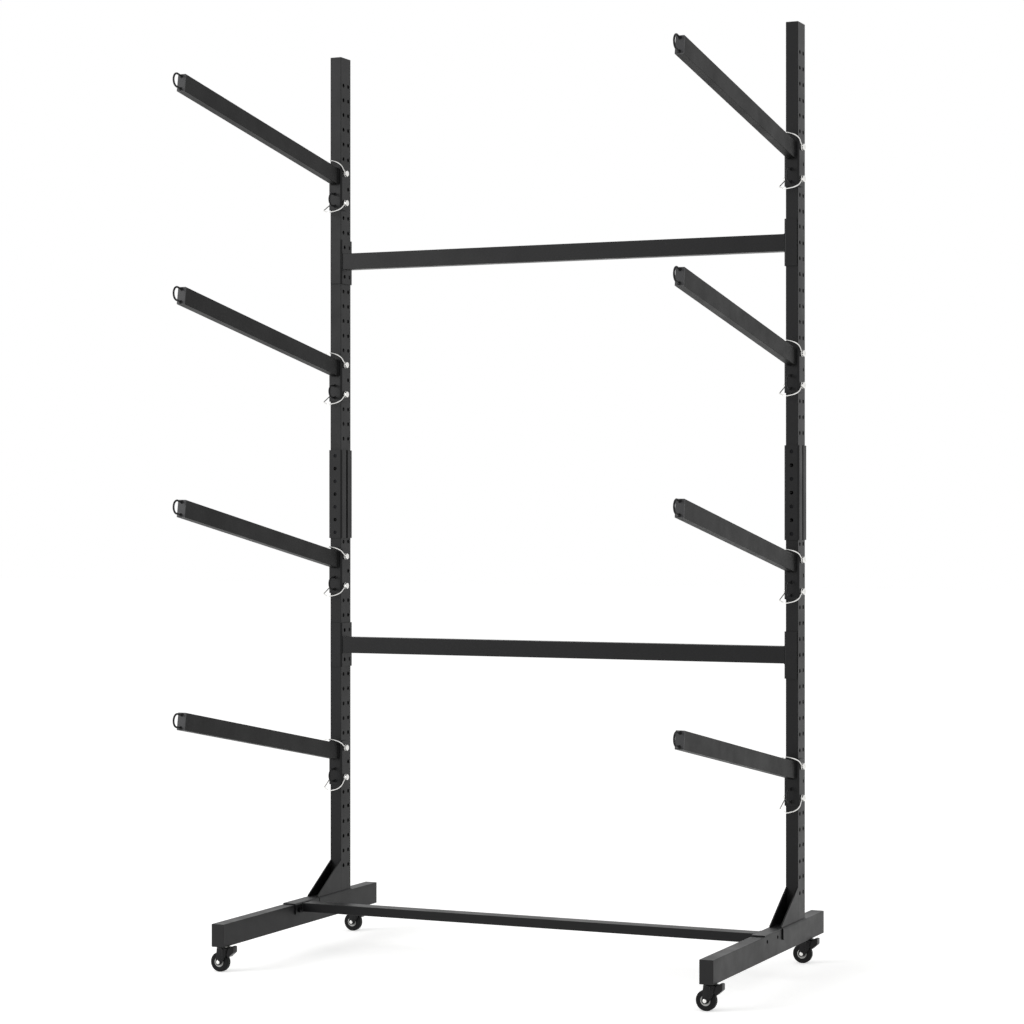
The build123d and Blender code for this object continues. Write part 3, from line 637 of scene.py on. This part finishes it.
def make_collar():
    """The weld round the foot of a strap loop, which stands out of a face towards -Y."""
    bpy.ops.mesh.primitive_cone_add(vertices=20, radius1=collar_foot * MM, radius2=collar_neck * MM,
                                    depth=collar_length * MM,
                                    location=(0.0, -collar_length / 2 * MM, 0.0),
                                    rotation=(math.radians(90.0), 0.0, 0.0))
    open_for_edit()
    pick("edges", lambda e: near(abs(e.verts[0].co.y - e.verts[1].co.y) / MM, collar_length))
    bpy.ops.mesh.subdivide(number_cuts=3)
    # Its waist is hollowed.
    pick("verts", lambda v: near(v.co.y / MM, -collar_length / 2))
    bpy.ops.transform.resize(value=(0.9, 1.0, 0.9))
    bpy.ops.mesh.select_all(action="SELECT")
    bpy.ops.transform.vertex_random(offset=collar_lump * MM, seed=7)
    return settle("loop_collar", smooth_below=60.0)


def lay_weld(master, name, move):
    """Copies a weld to its place on the frame."""
    piece = place_copy(master, name, move)
    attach(piece, "frame")


bar_box = {bar: node_box(f"{bar}_crossbar") for bar in ("upper", "lower", "base")}
bar_size = {bar: (high - low) / MM for bar, (low, high) in bar_box.items()}
plumb_height = arm_height / math.cos(math.radians(arm_lean))
arm_seam = make_seam("arm_seam", 1, arm_width, plumb_height)
post_bar_seam = make_seam("bar_seam", 0, bar_size["upper"].y, bar_size["upper"].z)
base_bar_seam = make_seam("base_seam", 0, bar_size["base"].y, bar_size["base"].z)
collar = make_collar()
weld_masters = (arm_seam, post_bar_seam, base_bar_seam, collar)
for master in weld_masters:
    master.data.materials.append(seam_coat)

for side in ("left", "right"):
    for tier in (1, 2, 3, 4):
        low, high = node_box(f"{side}_arm_{tier}")
        root = Vector(((low.x + high.x) / 2, high.y, low.z + plumb_height / 2 * MM))
        along_arm = Matrix.Translation(root) @ Matrix.Rotation(math.radians(-arm_lean), 4, "X")
        lay_weld(arm_seam, f"{side}_arm_{tier}_seam", Matrix.Translation(root))
        # A bracket's middle is level with the middle between its two pins.
        pin_levels = [joint_place[f"{side}_{end}_clip_{tier}_hinge"][2]
                      for end in ("upper", "lower")]
        bracket_middle = Vector((root.x, root.y, sum(pin_levels) / 2))
        for end, rise in (("upper", loop_half), ("lower", -loop_half)):
            foot = bracket_middle + Vector((0.0, 0.0, rise - bracket_loop_drop)) * MM
            lay_weld(collar, f"{side}_bracket_{tier}_{end}_collar", Matrix.Translation(foot))
            foot = Vector((0.0, -arm_run, rise)) * MM
            move = along_arm @ Matrix.Translation(foot)
            lay_weld(collar, f"{side}_tip_{tier}_{end}_collar", move)
for bar, seam in (("upper", post_bar_seam), ("lower", post_bar_seam), ("base", base_bar_seam)):
    low, high = bar_box[bar]
    for side, end in (("left", low.x), ("right", high.x)):
        bar_end = Vector((end, (low.y + high.y) / 2, (low.z + high.z) / 2))
        lay_weld(seam, f"{bar}_crossbar_{side}_seam", Matrix.Translation(bar_end))
for master in weld_masters:
    bpy.data.objects.remove(master)


# ---- studio -------------------------------------------------------------------------
def seen_directly(tree):
    """One for what is seen directly, in metal or through glass, and zero for what only lights."""
    path = add_node(tree, "ShaderNodeLightPath")
    seen = path.outputs["Is Camera Ray"]
    for ray in ("Is Glossy Ray", "Is Transmission Ray"):
        either = add_node(tree, "ShaderNodeMath", {"operation": "MAXIMUM"},
                          {0: seen, 1: path.outputs[ray]})
        seen = either.outputs[0]
    return seen


def studio_paper():
    """Matt white seamless paper, faintly uneven, as white as the background but for shadows."""
    material, tree, output, place = new_material("studio paper")
    mottle = add_node(tree, "ShaderNodeTexNoise", links={"Vector": place},
                      values={"Scale": per_metre(333.3)})
    tone = add_node(tree, "ShaderNodeMix", {"data_type": "RGBA"}, {0: mottle.outputs["Fac"]},
                    {6: hex_colour("#f6f6f5"), 7: hex_colour("#fafaf9")})
    sheet = add_node(tree, "ShaderNodeBsdfDiffuse", links={"Color": tone.outputs[2]})
    lift = add_node(tree, "ShaderNodeMapRange", links={"Value": seen_directly(tree)},
                    values={"To Min": 0.0, "To Max": 0.42})
    glow = add_node(tree, "ShaderNodeEmission", links={"Strength": lift.outputs["Result"]})
    shader = add_node(tree, "ShaderNodeAddShader",
                      links={0: sheet.outputs["BSDF"], 1: glow.outputs["Emission"]})
    tree.links.new(shader.outputs["Shader"], output.inputs["Surface"])
    return material


def soft_box(name, place, target, width, height, power):
    """A large area lamp at a place, turned to a target."""
    lamp = bpy.data.lights.new(name, "AREA")
    lamp.shape = "RECTANGLE"
    lamp.size, lamp.size_y, lamp.energy = width, height, power
    holder = bpy.data.objects.new(name, lamp)
    bpy.context.collection.objects.link(holder)
    holder.location = place
    holder.rotation_euler = (Vector(target) - Vector(place)).to_track_quat("-Z", "Y").to_euler()


bpy.ops.mesh.primitive_plane_add(size=60.0, location=(0.0, 0.0, 0.0))
floor = bpy.context.object
floor.name = "studio_floor"
floor.data.materials.append(studio_paper())

world = bpy.data.worlds.new("studio")
bpy.context.scene.world = world
world.use_nodes = True
world.node_tree.nodes.clear()
world_output = add_node(world.node_tree, "ShaderNodeOutputWorld")
strength = add_node(world.node_tree, "ShaderNodeMapRange",
                    links={"Value": seen_directly(world.node_tree)},
                    values={"To Min": 0.66, "To Max": 1.0})
sky = add_node(world.node_tree, "ShaderNodeBackground",
               links={"Strength": strength.outputs["Result"]},
               values={"Color": (1.0, 1.0, 1.0, 1.0)})
world.node_tree.links.new(sky.outputs["Background"], world_output.inputs["Surface"])

rack_middle = (0.0, 0.2, 1.1)
soft_box("key_light", (5.0, -2.0, 4.0), rack_middle, width=3.0, height=4.0, power=12.0)
soft_box("fill_light", (-4.6, -4.6, 3.0), rack_middle, width=4.0, height=4.0, power=225.0)

lens = bpy.data.cameras.new("camera")
lens.lens = 93.75
lens.sensor_width = 36.0
lens.clip_end = 200.0
camera = bpy.data.objects.new("camera", lens)
bpy.context.collection.objects.link(camera)
camera.location = (2.55, -5.6414, 1.069)
camera.rotation_euler = (math.radians(90.0), 0.0, math.radians(24.158))
bpy.context.scene.camera = camera
bpy.context.scene.view_settings.view_transform = "Standard"
